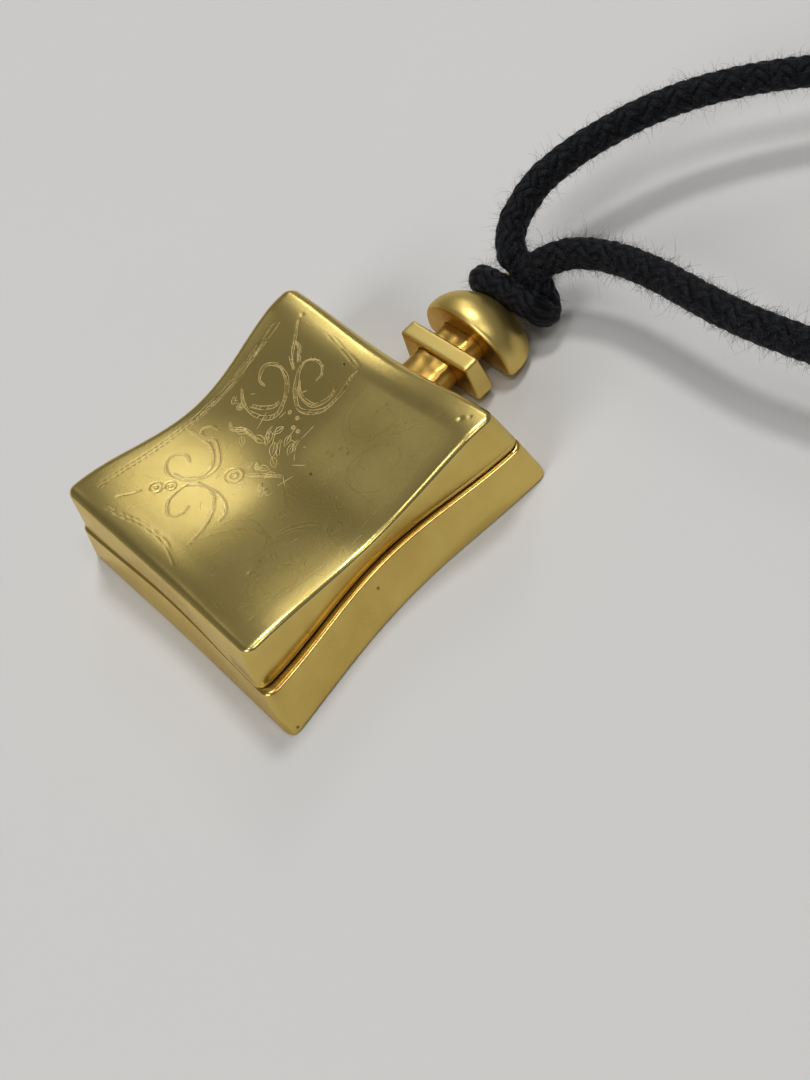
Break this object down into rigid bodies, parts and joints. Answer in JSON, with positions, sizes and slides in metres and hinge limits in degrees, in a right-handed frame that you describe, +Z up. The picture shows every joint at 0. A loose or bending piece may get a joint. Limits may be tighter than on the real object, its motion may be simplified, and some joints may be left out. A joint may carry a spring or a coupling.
{
  "type": "locket pendant",
  "caption": "Bottle-shaped locket pendant: a hinged dished lid over a lift-out tray, a collar and domed stopper, and a bail hitched to a waxed cord.",
  "frame": {"origin": "centre of the base's flat underside", "axes": "+Z up out of the lid, +Y along the neck away from the body, +X towards the side that opens"},
  "size_m": [0.1015, 0.1412, 0.0097],
  "materials": {
    "satin_gold": "satin gold plate with light engraving",
    "polished_gold": "polished gold plate",
    "magnet_nickel": "nickel plate",
    "waxed_cord": "braided waxed cotton"
  },
  "bodies": {
    "base": {"base_shell": "polished_gold", "inner_tray": "polished_gold", "base_hinge_leaf": "polished_gold", "hinge_pin": "polished_gold", "base_magnet_foot": "magnet_nickel", "base_magnet_neck": "magnet_nickel", "neck_post": "polished_gold", "neck_collar": "polished_gold", "stopper_dome": "polished_gold", "bail_loop": "polished_gold", "cord_hitch": "waxed_cord", "cord_tail_upper": "waxed_cord", "cord_tail_lower": "waxed_cord", "cord_coil_upper": "waxed_cord", "cord_coil_lower": "waxed_cord", "cord_end_knot_upper": "waxed_cord", "cord_end_knot_lower": "waxed_cord"},
    "lid": {"lid_shell": "satin_gold", "lid_hinge_leaf": "polished_gold", "lid_magnet_foot": "magnet_nickel", "lid_magnet_neck": "magnet_nickel"}
  },
  "joints": [
    {"name": "lid_hinge", "type": "hinge", "parent": "base", "child": "lid", "pos_m": [-0.0152, 0, 0.004], "axis": [0, -1, 0], "range_deg": [0, 110]}
  ]
}
